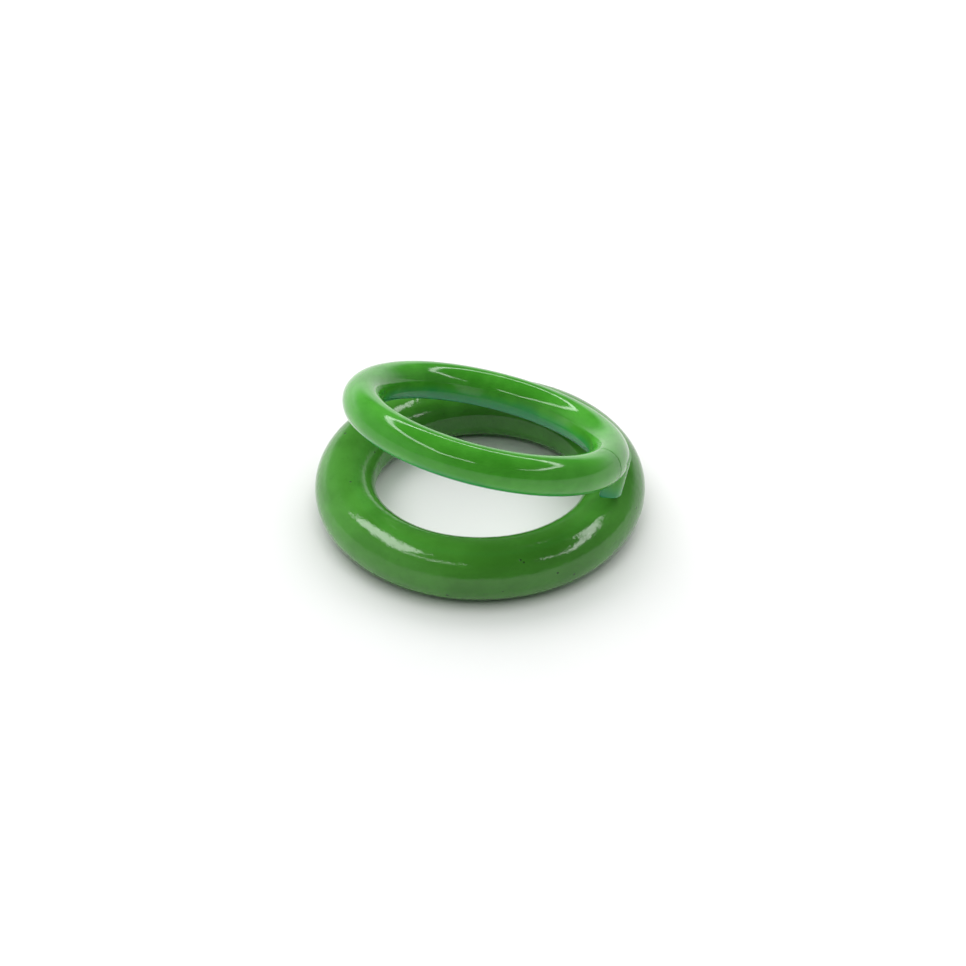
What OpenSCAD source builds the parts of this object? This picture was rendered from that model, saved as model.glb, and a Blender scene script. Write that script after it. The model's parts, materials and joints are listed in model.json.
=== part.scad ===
// A pair of split poultry leg bands, all in millimetres.
// A thick band lies flat and a thin band of the same bore leans on it.
// Each band is a round plastic strand bent into a ring and cut through at one place, the seam.
// It springs open by bending at the place opposite the seam, the flex, which parts it into two arms.
// The origin is on the thick band's axis, on the surface that it lies on. +Z is up.
// Directions are angles in degrees, anticlockwise from +X as seen from above.

/* [Thick band] */
// Bore of the thick band, the hole that the leg goes through
thick_bore = 16; // [12:0.5:22]
// Diameter of the thick band's round strand
thick_tube = 4.6; // [3.4:0.1:6]
// Width of the flat land around the inside of the thick band
thick_land = 1.2; // [0.6:0.1:2]
// Direction of the thick band's seam
thick_seam_az = 139; // [100:1:160]

/* [Thin band] */
// Bore of the thin band
thin_bore = 16; // [14:0.5:22]
// Diameter of the thin band's round strand
thin_tube = 2.9; // [2.2:0.1:4]
// Width of the flat land around the inside of the thin band
thin_land = 0.8; // [0.4:0.1:1.2]
// Direction of the thin band's seam, in the band's own plane
thin_seam_az = -25; // [-40:1:0]

/* [Seams] */
// Gap between the two ends that meet at a seam, at the bore
seam_gap = 0.1; // [0.05:0.01:0.3]
// Gap between the two arms at the flex, at the outside
flex_gap = 0.06; // [0.02:0.01:0.2]

/* [Lug on the thin band] */
// How far back from the seam's edge the lug starts, at its inner wall
lug_back = 0.3; // [0.15:0.05:1]
// How far the lug stands below the strand
lug_drop = 1; // [0.3:0.1:1.5]
// Width of the lug, from its outer wall inwards
lug_width = 1.4; // [0.8:0.1:2.2]
// How far the lug's outer wall stands proud of the strand
lug_proud = 0.1; // [0.05:0.05:0.4]
// Angle that the lug's front face is turned away from the seam, as seen from below
lug_skew = 45; // [0:1:55]
// Length of the lug's flat foot along its outer wall
lug_foot = 2.2; // [1:0.1:4]
// Slope of the lug's back end
lug_ramp = 25; // [15:1:60]

/* [Lean] */
// Slope of the thin band's plane
lean_tilt = 22.3; // [5:0.1:30]
// Direction in which the thin band slopes down
lean_az = 52.5; // [30:0.5:75]
// Place of the thin band's centre along X
lean_x = 0.47; // [-1:0.01:1]
// Place of the thin band's centre along Y
lean_y = -1.85; // [-3:0.01:0]
// Gap left between the two bands where they touch
rest_gap = 0.08; // [0.05:0.01:0.3]

/* [Hidden] */

$fn = 96;
thick_green = [0.19, 0.43, 0.13];
thin_green = [0.26, 0.62, 0.18];

thick_r = thick_tube / 2;
thin_r = thin_tube / 2;

// Radius of a ring's centre line, so that the land cut into its strand is of the width asked for
function ring_radius(bore, tube, land) = bore / 2 + sqrt(pow(tube / 2, 2) - pow(land / 2, 2));
thick_ring = ring_radius(thick_bore, thick_tube, thick_land);
thin_ring = ring_radius(thin_bore, thin_tube, thin_land);

// Angle that a length along the strand takes up at a given radius
function arc_angle(len, radius) = len / radius * 180 / PI;

// The lug, in the thin band's own plane
lug_outer = thin_ring + thin_r + lug_proud;
lug_inner = lug_outer - lug_width;
lug_depth = thin_r + lug_drop;
lug_start = seam_gap / 2 + lug_back;

// Angle from the seam to the lug's front face at a given radius: the face is the straight line in plan
// that leaves the inner wall at lug_start from the seam and is turned by lug_skew
function lug_front(radius) =
    lug_skew - 90 + acos((lug_inner * sin(lug_skew) - lug_start * cos(lug_skew)) / radius);

// Where its flat foot ends and its sloped back end begins, and where the slope runs out
lug_toe_az = thin_seam_az + lug_front(lug_outer) + arc_angle(lug_foot, lug_outer);
lug_ramp_len = lug_depth / tan(lug_ramp);
lug_heel_az = lug_toe_az + arc_angle(lug_ramp_len, lug_inner);

// Turning about Z and about Y, as matrices, so that points can be leaned like the band
function turn_z(a) = [[cos(a), -sin(a), 0], [sin(a), cos(a), 0], [0, 0, 1]];
function turn_y(a) = [[cos(a), 0, sin(a)], [0, 1, 0], [-sin(a), 0, cos(a)]];
lean = turn_z(lean_az) * turn_y(lean_tilt) * turn_z(-lean_az);
function on_ring(radius, az, height = 0) = lean * [radius * cos(az), radius * sin(az), height];

// Points of the leaning band that could touch the thick one, each with the radius around it:
// the strand's centre line, the lug's flat foot and its sloped back end
az_step = 2;
lug_radii = [for (share = [0:0.25:1]) lug_inner + share * lug_width];
strand_points = [for (az = [0:az_step:359]) [on_ring(thin_ring, az), thin_r]];
foot_points = [
    for (radius = lug_radii)
        for (az = [thin_seam_az + lug_front(radius):az_step / 2:lug_toe_az])
            [on_ring(radius, az, -lug_depth), 0]
];
ramp_points = [
    for (radius = lug_radii)
        for (az = [lug_toe_az:az_step / 2:lug_heel_az])
            [on_ring(radius, az, radius * sin(az - lug_toe_az) * tan(lug_ramp) - lug_depth), 0]
];
lean_points = concat(strand_points, foot_points, ramp_points);

// Room between one such point and the thick strand, with the thin band's centre lifted by height
function room_at(point, height) =
    norm([norm([point[0].x + lean_x, point[0].y + lean_y]) - thick_ring, point[0].z + height])
    - thick_r - point[1];
function room(height) = min([for (point = lean_points) room_at(point, height)]);

// Height of the thin band's centre over the thick one's at which the least room is rest_gap,
// found by halving the span between a height that is too low and one that is clear
function rest_height(low, high, steps) =
    steps == 0 ? high
    : room((low + high) / 2) < rest_gap ? rest_height((low + high) / 2, high, steps - 1)
    : rest_height(low, (low + high) / 2, steps - 1);
lean_low = thick_r;
lean_high = 2 * (thick_tube + thin_tube) + thin_ring;
halvings = 24;
lean_height = rest_height(lean_low, lean_high, halvings);

// One arc of a round strand with its land, from one direction to another
module strand(bore, tube, land, from_az, to_az) {
    rotate([0, 0, from_az])
        rotate_extrude(angle = to_az - from_az)
            difference() {
                translate([ring_radius(bore, tube, land), 0])
                    circle(d = tube);
                translate([0, -tube])
                    square([bore / 2, 2 * tube]);
            }
}

// Half of a band. It runs clockwise from the seam to the flex, or with after = true anticlockwise.
module arm(bore, tube, land, seam_az, after = false) {
    from_seam = arc_angle(seam_gap / 2, bore / 2);
    from_flex = arc_angle(flex_gap / 2, bore / 2 + tube);
    rotate([0, 0, seam_az])
        mirror([0, after ? 1 : 0, 0])
            strand(bore, tube, land, from_flex - 180, -from_seam);
}

// The block under the thin band's end: a flat foot with a turned front face and a sloped back
module lug() {
    past_front = arc_angle(lug_depth, lug_inner);
    top = thin_r / 4;
    toe = lug_toe_az - thin_seam_az;
    heel = lug_heel_az - thin_seam_az;
    rotate([0, 0, thin_seam_az])
        mirror([0, 1, 0])
            difference() {
                rotate([0, 0, -heel])
                    rotate_extrude(angle = heel + past_front)
                        translate([lug_inner, -lug_depth])
                            square([lug_width, lug_depth + top]);
                translate([lug_inner, -lug_start, 0])
                    rotate([0, 0, -lug_skew])
                        translate([-thin_bore, 0, -thin_bore])
                            cube([3 * thin_bore, thin_bore, 2 * thin_bore]);
                rotate([0, 0, -toe])
                    translate([0, 0, -lug_depth])
                        rotate([-lug_ramp, 0, 0])
                            translate([0, -thin_bore, -thin_bore])
                                cube([2 * thin_bore, thin_bore, thin_bore]);
            }
}

// Puts a piece made in the thin band's own plane where the band leans
module leaned() {
    translate([lean_x, lean_y, thick_r + lean_height])
        rotate([0, 0, lean_az])
            rotate([0, lean_tilt, 0])
                rotate([0, 0, -lean_az])
                    children();
}

// Right and back half of the thick band, which the thin band rests on
module thick_band_back_arm() {
    color(thick_green)
        translate([0, 0, thick_r])
            arm(thick_bore, thick_tube, thick_land, thick_seam_az);
}

// Left and front half of the thick band
module thick_band_front_arm() {
    color(thick_green)
        translate([0, 0, thick_r])
            arm(thick_bore, thick_tube, thick_land, thick_seam_az, after = true);
}

// Right and back half of the thin band, with the lug
module thin_band_back_arm() {
    color(thin_green)
        leaned() {
            arm(thin_bore, thin_tube, thin_land, thin_seam_az, after = true);
            lug();
        }
}

// Left and front half of the thin band
module thin_band_front_arm() {
    color(thin_green)
        leaned()
            arm(thin_bore, thin_tube, thin_land, thin_seam_az);
}

thick_band_back_arm();
thick_band_front_arm();
thin_band_back_arm();
thin_band_front_arm();
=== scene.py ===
"""Two glossy green leg bands, a thin one leaning on a thick one, on a pale studio floor."""

import json
import math

import bmesh
import bpy
import numpy as np
from mathutils import Matrix, Vector

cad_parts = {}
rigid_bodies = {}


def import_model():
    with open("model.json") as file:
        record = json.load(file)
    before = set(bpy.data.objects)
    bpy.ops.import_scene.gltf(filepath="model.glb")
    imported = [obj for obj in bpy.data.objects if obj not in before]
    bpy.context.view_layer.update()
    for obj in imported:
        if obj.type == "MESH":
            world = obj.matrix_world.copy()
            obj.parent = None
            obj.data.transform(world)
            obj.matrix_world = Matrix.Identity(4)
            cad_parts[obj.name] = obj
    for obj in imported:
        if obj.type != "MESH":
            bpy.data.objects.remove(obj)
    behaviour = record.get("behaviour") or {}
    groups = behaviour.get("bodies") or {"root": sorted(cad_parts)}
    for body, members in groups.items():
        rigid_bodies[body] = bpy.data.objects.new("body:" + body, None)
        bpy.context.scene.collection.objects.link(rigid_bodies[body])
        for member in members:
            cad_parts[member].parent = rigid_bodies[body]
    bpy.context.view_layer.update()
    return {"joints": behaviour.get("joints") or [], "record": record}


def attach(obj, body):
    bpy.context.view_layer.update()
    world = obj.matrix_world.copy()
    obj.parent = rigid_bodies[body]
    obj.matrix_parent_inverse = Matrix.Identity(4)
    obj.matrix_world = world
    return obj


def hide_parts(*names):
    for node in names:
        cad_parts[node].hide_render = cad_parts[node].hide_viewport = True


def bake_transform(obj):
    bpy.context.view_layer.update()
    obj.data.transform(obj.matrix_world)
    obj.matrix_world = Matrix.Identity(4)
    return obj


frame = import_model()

MM = 0.001
MOUNTS = {m["name"]: m for m in frame["record"]["mounts"]}
JOINTS = {j["name"]: j for j in frame["joints"]}


# ---------------------------------------------------------------- the bands' sizes, from the frame

def turn_to(axis):
    """Rotation matrix, as numpy, that takes +Z to axis by the shortest turn."""
    return np.array(Vector((0, 0, 1)).rotation_difference(Vector(axis)).to_matrix(), float)


class Band:
    """Place and size of one band, worked out from its bore mount and its spring joint."""

    def __init__(self, mount, joint, seam_side):
        m, j = MOUNTS[mount], JOINTS[joint]
        axis = np.array(m["axis"], float)
        axis *= np.sign(axis[2])
        self.centre = np.array(m["pos_m"], float)
        self.turn = turn_to(axis)
        self.bore = m["dims"]["r_mm"] * MM
        self.land = m["dims"]["length_mm"] * MM
        pivot = self.turn.T @ (np.array(j["pos_m"], float) - self.centre)
        outer = math.hypot(pivot[0], pivot[1])
        wall = outer - self.bore
        self.tube = (wall**2 + (self.land / 2) ** 2) / (2 * wall)
        self.ring = outer - self.tube
        self.seam = math.atan2(pivot[1], pivot[0]) + math.pi
        arms = {"parent": j["parent"], "child": j["child"]}
        self.first = arms[seam_side]
        self.last = arms["child" if seam_side == "parent" else "parent"]


THICK = Band("thick_bore", "thick_band_spring", seam_side="child")
THIN = Band("thin_bore", "thin_band_spring", seam_side="parent")

# the lug, as in the CAD: its start from the middle of the seam, its sizes and its slopes
LUG_BACK = 0.35 * MM
LUG_DROP = 1.0 * MM
LUG_WIDTH = 1.4 * MM
LUG_PROUD = 0.1 * MM
LUG_SKEW = math.radians(45)
LUG_FOOT = 2.2 * MM
LUG_RAMP = math.radians(25)

# the lug's finish: its rounded front corner and rims, how far its heel sinks into the strand,
# and the spacing of the cuts that let it follow the ring
LUG_CORNER = 0.55 * MM
LUG_RIM = 0.28 * MM
LUG_SINK = 1.6 * LUG_PROUD
LUG_SLICE = 0.12 * MM

# the strands' finish: the gap at the seam, the rounded edge of a cut end, and the rings that close it
# as shares of its outline
SEAM_GAP = 0.03 * MM
END_ROUND = 0.05 * MM
END_RINGS = (0.97, 0.8, 0.5, 0.2)


def smooth(x, low, high):
    """0 below low, 1 above high and a smooth step between."""
    t = np.clip((x - low) / (high - low), 0, 1)
    return t * t * (3 - 2 * t)


# ---------------------------------------------------------------- the strand

def ripple(along, around, seed, waves):
    """A seeded sum of long waves over the strand, closed both ways, from -1 to 1 or so."""
    draw = np.random.default_rng(seed)
    total = 0
    for _ in range(waves):
        n, m = draw.integers(2, 9), draw.integers(0, 4)
        height, phase = draw.normal(), draw.uniform(0, 6.28)
        total = total + height * np.cos(2 * math.pi * n * along + m * around + phase)
    return total / waves**0.5


def stations(length, count):
    """Places along the strand, close together over each rounded end."""
    ends = END_ROUND * (1 - np.cos(np.linspace(0, math.pi / 2, 6)))
    clear = 1.4 * END_ROUND
    middle = np.linspace(clear, length - clear, count)
    return np.r_[ends, middle, (length - ends)[::-1]]


def strand(name, band, count_along, count_around, wobble, seed):
    """One band as a single closed strand: made straight, then rolled into its ring.
    Straight, it runs along X, with Y pointing out of the ring and Z up."""
    length = 2 * math.pi * band.ring - SEAM_GAP
    s = stations(length, count_along)
    around = np.linspace(0, 2 * math.pi, count_around, endpoint=False) + math.pi
    circle = band.tube * np.stack([np.cos(around), np.sin(around)], 1)
    swell = 1 + wobble * ripple(s[:, None] / length, around[None], seed, waves=9)
    sections = circle[None] * swell[..., None]
    sections[..., 0] = np.maximum(sections[..., 0], band.bore - band.ring)

    near = np.minimum(s, length - s)
    inset = END_ROUND - np.sqrt(np.maximum(END_ROUND**2 - np.maximum(END_ROUND - near, 0) ** 2, 0))
    hub = sections.mean(1, keepdims=True)
    reach = np.linalg.norm(sections - hub, axis=2, keepdims=True)
    sections = hub + (sections - hub) * (1 - inset[:, None, None] / reach)

    rows = [np.c_[np.full(count_around, at), ring] for at, ring in zip(s, sections)]
    caps = []
    for at, ring in ((s[0], sections[0]), (s[-1], sections[-1])):
        middle = ring.mean(0)
        inner = [np.c_[np.full(count_around, at), middle + (ring - middle) * k] for k in END_RINGS]
        caps.append(inner + [np.array([[at, *middle]])])
    straight, faces = stitch(rows, caps, count_around)

    mesh = bpy.data.meshes.new(name)
    mesh.from_pydata(straight.tolist(), [], faces)
    obj = bpy.data.objects.new(name, mesh)
    bpy.context.collection.objects.link(obj)

    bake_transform(obj)

    roll_up(mesh, straight, band)
    mesh.polygons.foreach_set("use_smooth", [True] * len(mesh.polygons))
    mesh.update()
    return obj


def roll_up(mesh, straight, band):
    """Rolls a mesh made along the straight strand into the ring, and keeps what the materials read."""
    mesh.vertices.foreach_set("co", rolled(straight, band).astype(np.float32).ravel())
    store(mesh, "rest", straight)
    theta = np.arctan2(straight[:, 2], straight[:, 1])
    store(mesh, "facing", np.stack([np.cos(theta), np.sin(theta), np.zeros(len(theta))], 1))


def stitch(rows, caps, k):
    """Points and faces of a tube of rings, closed at both ends by shrinking rings round a centre."""
    points = np.concatenate(rows)
    faces = []
    turn = [(j, (j + 1) % k) for j in range(k)]
    for i in range(len(rows) - 1):
        faces += [(i * k + j, (i + 1) * k + j, (i + 1) * k + n, i * k + n) for j, n in turn]
    for end, rings in enumerate(caps):
        edge = end * (len(rows) - 1) * k
        for ring in rings:
            new = len(points)
            points = np.concatenate([points, ring])
            for j, n in turn:
                face = (edge + j, edge + n, new)
                if len(ring) > 1:
                    face = (edge + j, edge + n, new + n, new + j)
                faces.append(face[::-1] if end else face)
            edge = new
    return points, faces


def rolled(straight, band):
    """The straight strand's points, rolled into the ring and put where the band is."""
    along, out, up = straight[:, 0], straight[:, 1], straight[:, 2]
    angle = band.seam + (along + SEAM_GAP / 2) / band.ring
    radius = band.ring + out
    local = np.stack([radius * np.cos(angle), radius * np.sin(angle), up], 1)
    return local @ band.turn.T + band.centre


def store(mesh, name, values):
    """Keeps a vector at each vertex, for the materials to read."""
    layer = mesh.attributes.new(name, "FLOAT_VECTOR", "POINT")
    layer.data.foreach_set("vector", np.asarray(values, np.float32).ravel())


# ---------------------------------------------------------------- the lug

def lug(name, band):
    """The block under the thin band's end, with rounded edges: a turned front, a flat foot, a sloped back.
    It is made along the straight strand and rolled up like it."""
    outer = band.tube + LUG_PROUD
    inner = outer - LUG_WIDTH
    depth = band.tube + LUG_DROP
    top = band.tube / 4

    def front(out):
        line = (band.ring + inner) * math.sin(LUG_SKEW) - LUG_BACK * math.cos(LUG_SKEW)
        return (LUG_SKEW - math.pi / 2 + math.acos(line / (band.ring + out))) * band.ring

    toe = front(outer) + LUG_FOOT * band.ring / (band.ring + outer)
    heel = toe + depth / math.tan(LUG_RAMP) * band.ring / (band.ring + inner)
    bm = bmesh.new()
    walls = []
    for out in (inner, outer):
        profile = [(front(out), top), (front(out), -depth), (toe, -depth), (heel, 0), (heel, top)]
        walls.append([bm.verts.new((along, out, up)) for along, up in profile])
    count = len(walls[0])
    bm.faces.new(walls[0][::-1])
    bm.faces.new(walls[1])
    for k in range(count):
        n = (k + 1) % count
        bm.faces.new((walls[0][k], walls[0][n], walls[1][n], walls[1][k]))
    bmesh.ops.recalc_face_normals(bm, faces=bm.faces)

    def round_edges(test, radius, segments):
        """Rounds the edges whose middle and angle pass the test."""
        chosen = [e for e in bm.edges if test((e.verts[0].co + e.verts[1].co) / 2, e.calc_face_angle(0))]
        bmesh.ops.bevel(bm, geom=chosen, offset=radius, segments=segments, profile=0.5, affect="EDGES")

    def is_front_corner(at, _):
        return at.x < front(outer) + 0.1 * MM and at.y > outer * 0.99 and -depth < at.z < top

    def is_rim(at, bend):
        return bend > 0.5 and at.z < top * 0.9 and at.x < heel * 0.97

    round_edges(is_front_corner, LUG_CORNER, 10)
    round_edges(is_rim, LUG_RIM, 6)
    start = min(v.co.x for v in bm.verts)
    for at in np.arange(start, heel, LUG_SLICE):
        whole = list(bm.verts) + list(bm.edges) + list(bm.faces)
        bmesh.ops.bisect_plane(bm, geom=whole, dist=1e-9, plane_co=(at, 0, 0), plane_no=(1, 0, 0))
    mesh = bpy.data.meshes.new(name)
    bm.to_mesh(mesh)
    bm.free()
    straight = np.array([v.co for v in mesh.vertices], float)
    straight[:, 1] -= LUG_SINK * smooth(straight[:, 0], toe, heel) * smooth(straight[:, 1], inner, outer)
    roll_up(mesh, straight, band)
    mesh.polygons.foreach_set("use_smooth", [True] * len(mesh.polygons))
    mesh.set_sharp_from_angle(angle=math.radians(32))
    mesh.update()
    obj = bpy.data.objects.new(name, mesh)
    bpy.context.collection.objects.link(obj)
    return obj


# ---------------------------------------------------------------- materials

class Nodes:
    """Short hand for building a material's nodes. An input is named, or numbered as i0, i1 and so on."""

    def __init__(self, name):
        self.material = bpy.data.materials.new(name)
        self.material.use_nodes = True
        self.tree = self.material.node_tree
        self.shader = self.tree.nodes["Principled BSDF"]

    def add(self, kind, settings=None, **inputs):
        node = self.tree.nodes.new(kind)
        for key, value in (settings or {}).items():
            setattr(node, key, value)
        for key, value in inputs.items():
            self.put(node, key, value)
        return node

    def put(self, node, key, value):
        numbered = key[0] == "i" and key[1:].isdigit()
        socket = node.inputs[int(key[1:]) if numbered else key.replace("_", " ")]
        if isinstance(value, bpy.types.NodeSocket):
            self.tree.links.new(value, socket)
        else:
            socket.default_value = value

    def attribute(self, name):
        return self.add("ShaderNodeAttribute", {"attribute_name": name}).outputs["Vector"]

    def noise(self, at, scale, detail, roughness):
        kind = "ShaderNodeTexNoise"
        return self.add(kind, Vector=at, Scale=scale, Detail=detail, Roughness=roughness).outputs["Fac"]

    def span(self, value, low, high, to_low=0.0, to_high=1.0):
        """to_low below low, to_high above high and a smooth step between."""
        settings = {"interpolation_type": "SMOOTHSTEP"}
        ends = {"i1": low, "i2": high, "i3": to_low, "i4": to_high}
        return self.add("ShaderNodeMapRange", settings, i0=value, **ends).outputs[0]

    def math(self, kind, a, b):
        return self.add("ShaderNodeMath", {"operation": kind}, i0=a, i1=b).outputs[0]

    def mix(self, share, a, b):
        node = self.add("ShaderNodeMix", {"data_type": "RGBA"}, i0=share, i6=a, i7=b)
        return node.outputs[2]


def rgb(red, green, blue):
    """Linear colour from the usual 0-255 one."""
    def linear(c):
        c = c / 255
        return c / 12.92 if c <= 0.04045 else ((c + 0.055) / 1.055) ** 2.4

    return (linear(red), linear(green), linear(blue), 1.0)


PLASTIC_IOR = 1.45


def thick_plastic():
    """Dark green moulded plastic, with mottling, a few dark specks and a slightly uneven gloss."""
    n = Nodes("thick_band_plastic")
    at = n.attribute("rest")
    mottle = n.noise(at, 260, 4, 0.6)
    colour = n.mix(n.span(mottle, 0.35, 0.68), rgb(58, 120, 36), rgb(69, 135, 46))
    fine = n.noise(at, 2300, 3, 0.55)
    colour = n.mix(n.span(fine, 0.55, 0.8, 0, 0.35), colour, rgb(49, 105, 31))
    # a dark speck in the middle of some of the cells that the strand cuts through
    cells = n.add("ShaderNodeTexVoronoi", {"feature": "F1"}, Vector=at, Scale=620.0, Randomness=1.0)
    speck = n.span(cells.outputs["Distance"], 0.035, 0.065, 1, 0)
    colour = n.mix(speck, colour, rgb(30, 62, 22))
    n.put(n.shader, "Base_Color", colour)
    n.put(n.shader, "Roughness", n.span(fine, 0.3, 0.75, 0.07, 0.16))
    bump = n.add("ShaderNodeBump", Strength=0.55, Distance=0.00004, Height=fine)
    pit = n.math("MULTIPLY", speck, -1.0)
    bump = n.add("ShaderNodeBump", Strength=0.5, Distance=0.00003, Height=pit, Normal=bump.outputs[0])
    n.put(n.shader, "Normal", bump.outputs[0])
    n.put(n.shader, "IOR", PLASTIC_IOR)
    return n.material


def thin_plastic():
    """Brighter green plastic, smoother, with a painted teal reflection of light from below on its lower and
    inner sides.
    """
    n = Nodes("thin_band_plastic")
    at = n.attribute("rest")
    facing = n.add("ShaderNodeSeparateXYZ", Vector=n.attribute("facing"))
    mottle = n.noise(at, 330, 4, 0.6)
    colour = n.mix(n.span(mottle, 0.35, 0.68), rgb(63, 151, 38), rgb(77, 167, 50))
    # painted teal reflection of light from below: it grows towards the underside, a little sooner on the
    # bore's side, with a mottled edge
    inward = n.math("MULTIPLY", facing.outputs[0], 0.3)
    below = n.math("ADD", n.math("ADD", facing.outputs[1], inward), n.math("MULTIPLY", mottle, 0.5))
    painted_teal_reflection = n.span(below, -0.7, 0.1, 0.9, 0)
    # mixes the painted teal reflection into the base colour
    colour = n.mix(painted_teal_reflection, colour, rgb(30, 148, 98))
    n.put(n.shader, "Base_Color", colour)
    fine = n.noise(at, 1600, 3, 0.5)
    n.put(n.shader, "Roughness", n.span(fine, 0.3, 0.75, 0.06, 0.13))
    bump = n.add("ShaderNodeBump", Strength=0.12, Distance=0.00003, Height=fine)
    n.put(n.shader, "Normal", bump.outputs[0])
    n.put(n.shader, "IOR", PLASTIC_IOR)
    return n.material


def floor_paint():
    """Matt white studio sweep with a faint unevenness."""
    n = Nodes("floor")
    place = n.add("ShaderNodeTexCoord").outputs["Object"]
    mottle = n.noise(place, 40, 4, 0.6)
    n.put(n.shader, "Base_Color", n.mix(mottle, (0.86, 0.86, 0.86, 1), (0.9, 0.9, 0.9, 1)))
    n.put(n.shader, "Roughness", 0.6)
    n.put(n.shader, "Specular_IOR_Level", 0.2)
    return n.material


# ---------------------------------------------------------------- stage, lights and camera

def floor():
    size = 1.5
    mesh = bpy.data.meshes.new("floor")
    corners = [(-size, -size, 0), (size, -size, 0), (size, size, 0), (-size, size, 0)]
    mesh.from_pydata(corners, [], [(0, 1, 2, 3)])
    obj = bpy.data.objects.new("floor", mesh)
    bpy.context.collection.objects.link(obj)
    obj.data.materials.append(floor_paint())
    return obj


def strip(name, start, end, width, radiance, onto=None, glossy=True):
    """A long rectangular light between two places, in metres from the bands, turned to face them.
    Its brightness is a radiance, so that its size can change without changing how its reflection looks.
    With onto, it lights only those objects."""
    a, b = Vector(start), Vector(end)
    along = b - a
    data = bpy.data.lights.new(name, "AREA")
    data.shape = "RECTANGLE"
    data.size, data.size_y = along.length, width
    data.energy = radiance * math.pi * along.length * width
    obj = bpy.data.objects.new(name, data)
    bpy.context.collection.objects.link(obj)
    place = (a + b) / 2
    x = along.normalized()
    z = (place - x * place.dot(x)).normalized()
    obj.matrix_world = Matrix((x, z.cross(x), z)).transposed().to_4x4()
    obj.location = Vector(THICK.centre) + place
    obj.visible_glossy = glossy
    if onto:
        group = bpy.data.collections.new(name + "_lit")
        for lit in onto:
            group.objects.link(lit)
        obj.light_linking.receiver_collection = group


CHAIN_HEIGHT = 0.3


def chain(name, places, radiance, onto):
    """Strips end to end through places overhead. A place is x, y and the width of the strip that starts
    there, as shares of the height, and a width of 0 leaves that strip out."""
    h = CHAIN_HEIGHT
    for k, ((x0, y0, width), (x1, y1, _)) in enumerate(zip(places, places[1:])):
        if width:
            strip(f"{name}_{k}", (x0 * h, y0 * h, h), (x1 * h, y1 * h, h), width * h, radiance, onto)


def lights(thick, thin, ground):
    """Narrow lights that draw the highlights on each band, and wide ones that mirror in nothing."""
    chain("thin_ring", [
        (0.0, -0.97, 0.1), (-0.55, -0.82, 0.12), (-0.72, -0.1, 0.12), (-0.7, 0.45, 0.12), (-0.42, 1.1, 0.13),
        (0.15, 1.45, 0.13), (0.75, 1.25, 0.12), (1.2, 0.55, 0.1), (1.08, -0.4, 0.05), (0.8, -0.7, 0),
    ], radiance=8, onto=thin)
    chain("thick_left", [
        (-0.79, 0.5, 0.44), (-0.64, -0.33, 0), (-0.85, -0.42, 0.06), (-0.57, -0.66, 0.05), (-0.2, -0.83, 0),
    ], radiance=9, onto=thick)
    chain("thick_right", [
        (0.33, 0.54, 0.28), (1.15, 0.03, 0.2), (1.45, -0.7, 0.06), (0.8, -0.77, 0),
    ], radiance=8, onto=thick)
    strip("soft_top", (-0.9, 0.5, 0.9), (0.5, 0.5, 0.9), width=1.2, radiance=0.8, glossy=False)
    strip("soft_left", (-0.7, -0.5, 0.45), (-0.7, 0.6, 0.45),
          width=0.6, radiance=0.9, onto=thick + thin, glossy=False)
    strip("soft_back", (-0.6, 0.9, 0.6), (0.4, 0.9, 0.6),
          width=0.6, radiance=1.5, onto=thin, glossy=False)
    strip("floor_wash", (-0.85, 0.05, 0.9), (1.05, 0.05, 0.9),
          width=1.9, radiance=1.6, onto=[ground], glossy=False)


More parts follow.
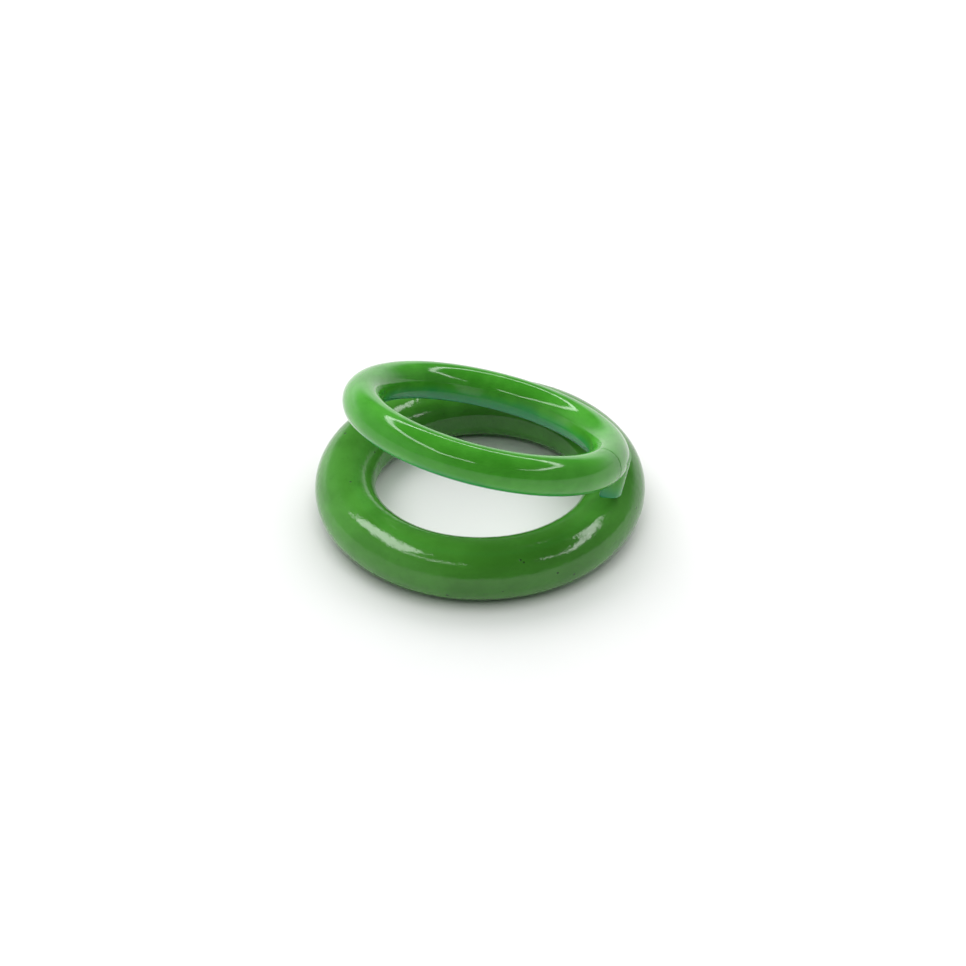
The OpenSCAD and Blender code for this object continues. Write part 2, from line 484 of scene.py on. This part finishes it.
def world():
    """Low light from all round: bright towards the back horizon, dim above and in front."""
    w = bpy.data.worlds.new("studio")
    w.use_nodes = True
    bpy.context.scene.world = w
    tree = w.node_tree
    back = tree.nodes["Background"]
    coord = tree.nodes.new("ShaderNodeTexCoord")
    split = tree.nodes.new("ShaderNodeSeparateXYZ")
    tree.links.new(coord.outputs["Generated"], split.inputs[0])

    def ramp(axis, low, high, to_low, to_high):
        node = tree.nodes.new("ShaderNodeMapRange")
        node.interpolation_type = "SMOOTHSTEP"
        tree.links.new(split.outputs[axis], node.inputs[0])
        for k, value in enumerate((low, high, to_low, to_high), 1):
            node.inputs[k].default_value = value
        return node.outputs[0]

    def combine(kind, a, b):
        node = tree.nodes.new("ShaderNodeMath")
        node.operation = kind
        tree.links.new(a, node.inputs[0])
        tree.links.new(b, node.inputs[1])
        return node.outputs[0]

    horizon = combine("MULTIPLY", ramp(1, 0.2, 0.95, 0.0, 1.05), ramp(2, 0.05, 0.3, 1.0, 0.0))
    sides = combine("MULTIPLY", ramp(0, -0.1, -0.95, 0.1, 0.5), ramp(2, 0.5, 0.8, 1.0, 0.2))
    right = combine("MULTIPLY", ramp(0, 0.3, 0.95, 0.0, 0.1), ramp(2, 0.4, 0.7, 1.0, 0.1))
    tree.links.new(combine("ADD", combine("ADD", horizon, sides), right), back.inputs["Strength"])
    back.inputs["Color"].default_value = (0.97, 1.0, 0.99, 1)


def camera():
    """Looks along +Y and down, from where the outlines of both rings were found to fit."""
    elevation, distance = math.radians(37.3), 18.6 * THICK.ring
    aim = Vector(THICK.centre) + Vector((0.22 * MM, 0, 0.05 * MM))
    data = bpy.data.cameras.new("camera")
    data.sensor_width, data.lens = 36.0, 93.2
    obj = bpy.data.objects.new("camera", data)
    bpy.context.collection.objects.link(obj)
    back = Vector((0, -math.cos(elevation), math.sin(elevation)))
    obj.location = aim + back * distance
    obj.rotation_euler = (math.pi / 2 - elevation, 0, 0)
    data.clip_start, data.clip_end = 0.005, 10
    bpy.context.scene.camera = obj


# ---------------------------------------------------------------- build

thick = strand("thick_band", THICK, count_along=420, count_around=120, wobble=0.004, seed=11)
thick.data.materials.append(thick_plastic())
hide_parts("thick_band_back_arm", "thick_band_front_arm")

thin = strand("thin_band", THIN, count_along=420, count_around=144, wobble=0.003, seed=5)
thin.data.materials.append(thin_plastic())
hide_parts("thin_band_back_arm", "thin_band_front_arm")

thin_lug = lug("thin_band_lug", THIN)
thin_lug.data.materials.append(thin.data.materials[0])
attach(thin_lug, THIN.first)

camera()
world()
ground = floor()
lights([thick], [thin, thin_lug], ground)
bpy.context.scene.view_settings.view_transform = "Standard"
